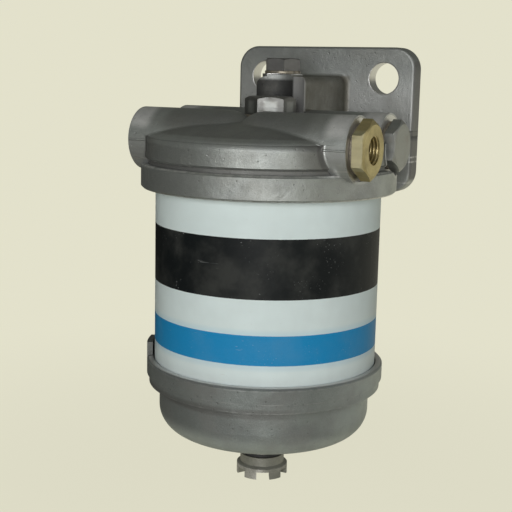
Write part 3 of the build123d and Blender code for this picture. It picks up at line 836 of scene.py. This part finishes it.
def grown(name, tree, **values):
    """Runs a geometry node tree on an empty mesh and keeps what it makes as a plain mesh."""
    seed = placed_object(name + "_seed", bpy.data.meshes.new(name + "_seed"))
    modifier = seed.modifiers.new("grow", "NODES")
    modifier.node_group = tree
    for socket in tree.interface.items_tree:
        if socket.in_out == "INPUT" and socket.name in values:
            modifier[socket.identifier] = values[socket.name]
    seed.update_tag()
    ready = seed.evaluated_get(bpy.context.evaluated_depsgraph_get())
    mesh = bpy.data.meshes.new_from_object(ready)
    bpy.data.objects.remove(seed)
    if not mesh.polygons:
        raise RuntimeError(name + " came out empty")
    mesh.name = name
    shape = bmesh.new()
    shape.from_mesh(mesh)
    bmesh.ops.remove_doubles(shape, verts=shape.verts, dist=1e-7)
    bmesh.ops.recalc_face_normals(shape, faces=shape.faces)
    shape.to_mesh(mesh)
    shape.free()
    return placed_object(name, mesh)


# Stage

def ray_mask(graph, *kinds):
    """1 for the given kinds of ray."""
    rays = graph.nodes.new("ShaderNodeLightPath").outputs
    return graph.either(*[rays[kind] for kind in kinds])


def to_the_right(graph, x, y):
    """How far a place or direction lies to the right as the camera sees it."""
    azimuth = bpy.context.scene.studio.azimuth
    return graph.plus(graph.times(y, math.sin(azimuth)), x, math.cos(azimuth))


def to_the_back(graph, x, y):
    """How far a place or direction lies behind the filter as the camera sees it."""
    azimuth = bpy.context.scene.studio.azimuth
    return graph.plus(graph.times(x, -math.sin(azimuth)), y, math.cos(azimuth))


def backdrop_world(colour):
    """The plain backdrop for the camera. Metal sees it low down, much darker on the left, and a dim
    room above."""
    world = bpy.data.worlds.new("studio")
    bpy.context.scene.world = world
    world.use_nodes = True
    graph = Graph(world.node_tree)
    direction = graph.nodes.new("ShaderNodeTexCoord").outputs["Generated"]
    x, y, height = graph.parts(direction)
    in_front = graph.step(to_the_back(graph, x, y), -0.2, -0.6)
    left = graph.shades(in_front, colour, 0.05, 0.26)
    wall = graph.mix(graph.step(to_the_right(graph, x, y), -0.9, 0.9), left, tinted(colour, 0.75))
    reflected = graph.mix(graph.step(height, 0.16, 0.02), (0.155, 0.160, 0.138, 1.0), wall)
    shiny = ray_mask(graph, "Is Glossy Ray", "Is Transmission Ray")
    unseen = graph.mix(shiny, tinted(colour, 0.08), reflected)
    seen = graph.mix(ray_mask(graph, "Is Camera Ray"), unseen, tinted(colour))
    graph.feed(graph.nodes["Background"].inputs["Color"], seen)


def floor_material(colour):
    """Pale floor that keeps a soft shadow near the filter and runs into the backdrop further off."""
    material = bpy.data.materials.new("floor")
    material.use_nodes = True
    graph = Graph(material.node_tree)
    surface = graph.nodes["Principled BSDF"]
    surface.inputs["Roughness"].default_value = 0.9
    surface.inputs["Specular IOR Level"].default_value = 0.1
    position = graph.nodes.new("ShaderNodeTexCoord").outputs["Object"]
    offset = graph.vector("SUBTRACT", position, (FOOT.x, FOOT.y, FLOOR_HEIGHT))
    distance = graph.vector("LENGTH", offset)
    x, y, _ = graph.parts(offset)
    right, back = to_the_right(graph, x, y), to_the_back(graph, x, y)

    # What metal sees of it: brighter on the right, behind on the right, in front on the left and underneath
    to_right = graph.step(right, -0.30, 0.30)
    behind = graph.times(graph.step(back, -0.03, 0.05), graph.step(right, 0.02, 0.06))
    front = graph.times(graph.step(back, -0.4, -0.9), graph.step(right, -0.2, -0.8))
    shine = graph.plus(graph.times(to_right, 0.30), behind, 0.6)
    shine = graph.plus(shine, front, 0.17)
    shine = graph.plus(shine, graph.step(distance, 0.11, 0.05), 0.32, clamp=True)

    glossy = ray_mask(graph, "Is Glossy Ray")
    mirrored = graph.shades(to_right, colour, 0.20, 1.0)
    graph.feed(surface.inputs["Base Color"], graph.mix(glossy, tinted(colour, 0.92), mirrored))
    glow = graph.node("ShaderNodeEmission", {"Color": tinted(colour), "Strength": 1.0})
    far = graph.scale(graph.step(distance, 0.05, 0.30), 0.92, 1.0)
    share = graph.plus(graph.times(ray_mask(graph, "Is Camera Ray"), far), glossy, shine)
    join = graph.node("ShaderNodeMixShader", {0: share, 1: surface.outputs[0], 2: glow.outputs[0]})
    graph.feed(graph.nodes["Material Output"].inputs["Surface"], join.outputs[0])
    return material


def floor_mesh(colour):
    """A wide round floor below the filter."""
    mesh = bpy.data.meshes.new("floor")
    shape = bmesh.new()
    bmesh.ops.create_circle(shape, cap_ends=True, segments=96, radius=3.0,
                            matrix=Matrix.Translation((FOOT.x, FOOT.y, FLOOR_HEIGHT)))
    shape.to_mesh(mesh)
    shape.free()
    mesh.materials.append(floor_material(colour))
    return mesh


def area_light(name, power, size, azimuth, elevation, distance):
    """A rectangular light at an angle round the middle of the filter and above it, turned to face it."""
    middle = from_foot(0, 0, -30)
    out = Vector((math.sin(azimuth) * math.cos(elevation), -math.cos(azimuth) * math.cos(elevation),
                  math.sin(elevation)))
    light = bpy.data.lights.new(name, "AREA")
    light.shape = "RECTANGLE"
    light.size, light.size_y = size
    light.energy = power
    lamp = placed_object(name, light)
    lamp.location = middle + out * distance
    lamp.rotation_mode = "QUATERNION"
    lamp.rotation_quaternion = (-out).to_track_quat("-Z", "Y")


def camera_turn(heading):
    """The camera's own axes when it faces a heading, looks down and leans over a little."""
    level = Vector((-math.sin(heading), math.cos(heading), 0))
    right = Vector((math.cos(heading), math.sin(heading), 0))
    forward = level * math.cos(LOOK_DOWN) - Vector((0, 0, math.sin(LOOK_DOWN)))
    above = right.cross(forward)
    across = right * math.cos(LEAN) + above * math.sin(LEAN)
    up = above * math.cos(LEAN) - right * math.sin(LEAN)
    return Matrix((across, up, -forward)).transposed().to_4x4()


def stand_camera(studio):
    lens = bpy.data.cameras.new("camera")
    lens.sensor_width = SENSOR
    lens.lens = SENSOR * FOCAL / PICTURE
    lens.clip_start = 0.01
    camera = placed_object("camera", lens)
    spot = from_foot(0, 0, 0) + Vector((math.sin(studio.azimuth) * studio.distance,
                                        -math.cos(studio.azimuth) * studio.distance, studio.rise))
    heading = studio.azimuth + math.atan(BESIDE / FOCAL)
    camera.matrix_world = Matrix.Translation(spot) @ camera_turn(heading)
    bpy.context.scene.camera = camera


# Operators

class FILTER_OT_castings(bpy.types.Operator):
    """Finishes the head, the bowl and the drain plug as cast aluminium"""
    bl_idname = "filter.castings"
    bl_label = "Castings"

    def execute(self, context):
        colours = context.scene.filter_colours
        finish(head_material(colours), "filter_head")
        finish(bowl_material(colours), "bowl")
        finish(plug_material(colours), "drain_plug")
        return {"FINISHED"}


class FILTER_OT_canister(bpy.types.Operator):
    """Finishes the canister as enamelled tinplate with its two printed bands"""
    bl_idname = "filter.canister"
    bl_label = "Canister"

    def execute(self, context):
        scene = context.scene
        finish(canister_material(scene.filter_colours, scene.canister_bands), "canister")
        return {"FINISHED"}


class FILTER_OT_element(bpy.types.Operator):
    """Finishes the paper element with its plates and tube"""
    bl_idname = "filter.element"
    bl_label = "Element"

    def execute(self, context):
        finish(bare_tin_material(), "element_top_plate", "element_bottom_plate", "centre_tube")
        finish(paper_material(context.scene.filter_colours), "filter_paper")
        return {"FINISHED"}


class FILTER_OT_fittings(bpy.types.Operator):
    """Finishes the screws, plug, adaptor, washers and rubber rings"""
    bl_idname = "filter.fittings"
    bl_label = "Fittings"

    def execute(self, context):
        colours = context.scene.filter_colours
        finish(steel_material(colours), "centre_bolt", "bleed_screw", "blanking_plug")
        finish(brass_material(colours), "outlet_adaptor")
        finish(copper_material(colours), "bolt_washer", "bleed_washer", "adaptor_washer", "blanking_washer")
        finish(rubber_material(colours), "head_seal_ring", "bowl_seal_ring", "centre_seal", "drain_washer")
        return {"FINISHED"}


class FILTER_OT_threads(bpy.types.Operator):
    """Winds the screw threads in the open ports and on the shanks that screw in"""
    bl_idname = "filter.threads"
    bl_label = "Screw threads"

    def execute(self, context):
        threads = context.scene.screw_threads
        tree = thread_tree()

        def wind(name, body, slot, foot, radius, length, pitch, depth, tilt=0):
            piece = grown(name, tree, Radius=radius * MM, Length=length * MM, Pitch=pitch, Depth=depth,
                          Segments=threads.segments, Start=from_foot(*foot),
                          Turn=Vector((0, math.radians(tilt), 0)), Material=bpy.data.materials[slot])
            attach(piece, body)

        port = {"pitch": threads.port_pitch, "depth": threads.port_depth}
        fitting = {"pitch": threads.port_pitch, "depth": threads.shank_depth}
        shank = {"pitch": threads.shank_pitch, "depth": threads.shank_depth}
        bleed = {"pitch": threads.bleed_pitch, "depth": threads.shank_depth}
        for name, y in (("inlet_thread_front", FRONT_PORT), ("inlet_thread_rear", REAR_PORT)):
            wind(name, "housing", "cast_head", (12.1 - PORT_FACE, y, PORT_HEIGHT),
                 radius=PORT_BORE, length=11.2, tilt=-90, **port)
        wind("outlet_thread", "housing", "brass", (PORT_FACE + 2.0, FRONT_PORT, PORT_HEIGHT),
             radius=5.2, length=3.3, tilt=90, **port)
        wind("adaptor_thread", "housing", "brass", (PORT_FACE - 8.2, FRONT_PORT, PORT_HEIGHT),
             radius=PORT_SHANK, length=7.8, tilt=90, **fitting)
        wind("plug_thread", "housing", "plated_steel", (PORT_FACE - 7.7, REAR_PORT, PORT_HEIGHT),
             radius=PORT_SHANK, length=7.3, tilt=90, **fitting)
        wind("bolt_thread", "housing", "plated_steel", (0, 0, -91.6), radius=4.7, length=14.6, **shank)
        wind("bleed_thread", "bleed_screw_body", "plated_steel", (*BLEED, 33.8),
             radius=3.0, length=9.4, **bleed)
        wind("drain_thread", "drain_plug_body", "cast_plug", (0, 0, -105.1), radius=5.0, length=5.3, **shank)
        return {"FINISHED"}


class FILTER_OT_studio(bpy.types.Operator):
    """Sets out the pale floor, the plain backdrop, the soft lights and the camera"""
    bl_idname = "filter.studio"
    bl_label = "Studio"

    def execute(self, context):
        studio = context.scene.studio
        context.scene.view_settings.view_transform = "Standard"
        backdrop_world(studio.backdrop)
        placed_object("floor", floor_mesh(studio.backdrop))
        area_light("front_light", studio.key_power, size=(0.42, 0.60),
                   azimuth=studio.azimuth - math.radians(9), elevation=math.radians(8), distance=0.95)
        area_light("side_light", studio.fill_power, size=(0.30, 0.60),
                   azimuth=studio.azimuth + math.radians(85), elevation=math.radians(6), distance=0.9)
        stand_camera(studio)
        return {"FINISHED"}


class FILTER_PT_sidebar(bpy.types.Panel):
    """Lists the filter's operators and settings"""
    bl_idname = "FILTER_PT_sidebar"
    bl_label = "Fuel filter"
    bl_space_type = "VIEW_3D"
    bl_region_type = "UI"
    bl_category = "Filter"

    def draw(self, context):
        for operator in OPERATORS:
            self.layout.operator(operator.bl_idname)
        for group in SETTINGS:
            settings = getattr(context.scene, group)
            box = self.layout.box()
            for name in settings.__annotations__:
                box.prop(settings, name)


SETTINGS = {"canister_bands": CanisterBands, "screw_threads": ScrewThreads, "studio": Studio,
            "filter_colours": FilterColours}
OPERATORS = (FILTER_OT_castings, FILTER_OT_canister, FILTER_OT_element, FILTER_OT_fittings, FILTER_OT_threads,
             FILTER_OT_studio)
CLASSES = (*SETTINGS.values(), *OPERATORS, FILTER_PT_sidebar)


def register():
    for cls in CLASSES:
        bpy.utils.register_class(cls)
    for name, group in SETTINGS.items():
        setattr(bpy.types.Scene, name, bpy.props.PointerProperty(type=group))


def unregister():
    for name in SETTINGS:
        delattr(bpy.types.Scene, name)
    for cls in reversed(CLASSES):
        bpy.utils.unregister_class(cls)


def main():
    register()
    bpy.ops.filter.castings()
    bpy.ops.filter.canister()
    bpy.ops.filter.element()
    bpy.ops.filter.fittings()
    bpy.ops.filter.threads()
    bpy.ops.filter.studio()


if __name__ == "__main__":
    main()
